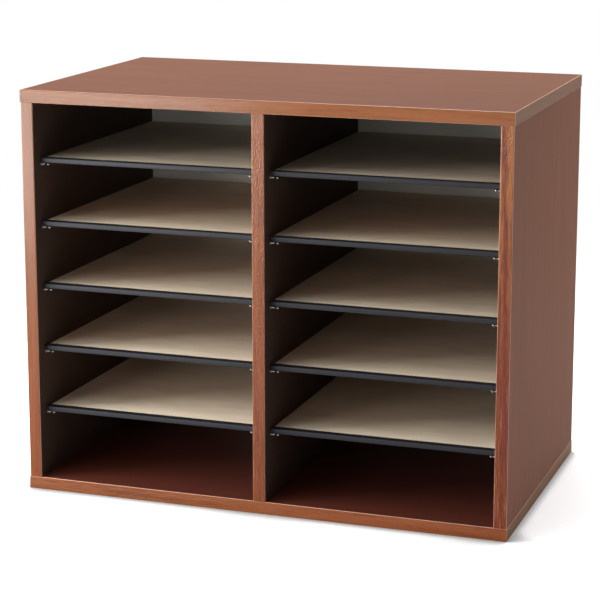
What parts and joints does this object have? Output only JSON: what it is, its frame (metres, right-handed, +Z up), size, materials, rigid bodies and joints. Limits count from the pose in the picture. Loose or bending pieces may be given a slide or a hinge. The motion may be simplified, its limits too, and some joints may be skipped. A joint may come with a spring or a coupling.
{
  "type": "literature organizer",
  "caption": "Desk-top wooden literature organizer: an open cabinet with a centre divider and thin slide-out shelves on metal pins, with black plastic label mouldings.",
  "frame": {"origin": "on the surface that the cabinet stands on, under the middle of its bottom", "axes": "+X along the width, to the right of someone facing the open front; +Y from the front to the rear; +Z up"},
  "size_m": [0.4984, 0.3016, 0.4096],
  "materials": {
    "melamine_board": "satin cherry wood-grain melamine",
    "pvc_edge_band": "satin wood-grain edge band",
    "hardboard_back": "pale painted hardboard",
    "hardboard_shelf": "smooth tan hardboard",
    "black_moulding": "satin black extruded plastic",
    "nickel_pin": "bright nickel plate",
    "beech_dowel": "plain beech",
    "steel_nail": "bright steel"
  },
  "bodies": {
    "cabinet": {"top_panel": "melamine_board", "bottom_panel": "melamine_board", "left_side_panel": "melamine_board", "right_side_panel": "melamine_board", "centre_divider": "melamine_board", "back_panel": "hardboard_back", "top_front_band": "pvc_edge_band", "top_left_band": "pvc_edge_band", "top_right_band": "pvc_edge_band", "bottom_front_band": "pvc_edge_band", "bottom_left_band": "pvc_edge_band", "bottom_right_band": "pvc_edge_band", "left_side_band": "pvc_edge_band", "right_side_band": "pvc_edge_band", "divider_band": "pvc_edge_band", "bottom_dowels": "beech_dowel", "top_dowels": "beech_dowel", "back_nails": "steel_nail", "left_bay_shelf_pins": "nickel_pin", "right_bay_shelf_pins": "nickel_pin"},
    "left_shelf_unit_1": {"left_shelf_1": "hardboard_shelf", "left_moulding_1": "black_moulding"},
    "left_shelf_unit_2": {"left_shelf_2": "hardboard_shelf", "left_moulding_2": "black_moulding"},
    "left_shelf_unit_3": {"left_shelf_3": "hardboard_shelf", "left_moulding_3": "black_moulding"},
    "left_shelf_unit_4": {"left_shelf_4": "hardboard_shelf", "left_moulding_4": "black_moulding"},
    "left_shelf_unit_5": {"left_shelf_5": "hardboard_shelf", "left_moulding_5": "black_moulding"},
    "right_shelf_unit_1": {"right_shelf_1": "hardboard_shelf", "right_moulding_1": "black_moulding"},
    "right_shelf_unit_2": {"right_shelf_2": "hardboard_shelf", "right_moulding_2": "black_moulding"},
    "right_shelf_unit_3": {"right_shelf_3": "hardboard_shelf", "right_moulding_3": "black_moulding"},
    "right_shelf_unit_4": {"right_shelf_4": "hardboard_shelf", "right_moulding_4": "black_moulding"},
    "right_shelf_unit_5": {"right_shelf_5": "hardboard_shelf", "right_moulding_5": "black_moulding"}
  },
  "joints": [
    {"name": "left_shelf_1_slide", "type": "slide", "parent": "cabinet", "child": "left_shelf_unit_1", "axis": [0, -1, 0], "range_m": [0, 0.3]},
    {"name": "left_shelf_2_slide", "type": "slide", "parent": "cabinet", "child": "left_shelf_unit_2", "axis": [0, -1, 0], "range_m": [0, 0.3]},
    {"name": "left_shelf_3_slide", "type": "slide", "parent": "cabinet", "child": "left_shelf_unit_3", "axis": [0, -1, 0], "range_m": [0, 0.3]},
    {"name": "left_shelf_4_slide", "type": "slide", "parent": "cabinet", "child": "left_shelf_unit_4", "axis": [0, -1, 0], "range_m": [0, 0.3]},
    {"name": "left_shelf_5_slide", "type": "slide", "parent": "cabinet", "child": "left_shelf_unit_5", "axis": [0, -1, 0], "range_m": [0, 0.3]},
    {"name": "right_shelf_1_slide", "type": "slide", "parent": "cabinet", "child": "right_shelf_unit_1", "axis": [0, -1, 0], "range_m": [0, 0.3]},
    {"name": "right_shelf_2_slide", "type": "slide", "parent": "cabinet", "child": "right_shelf_unit_2", "axis": [0, -1, 0], "range_m": [0, 0.3]},
    {"name": "right_shelf_3_slide", "type": "slide", "parent": "cabinet", "child": "right_shelf_unit_3", "axis": [0, -1, 0], "range_m": [0, 0.3]},
    {"name": "right_shelf_4_slide", "type": "slide", "parent": "cabinet", "child": "right_shelf_unit_4", "axis": [0, -1, 0], "range_m": [0, 0.3]},
    {"name": "right_shelf_5_slide", "type": "slide", "parent": "cabinet", "child": "right_shelf_unit_5", "axis": [0, -1, 0], "range_m": [0, 0.3]}
  ]
}
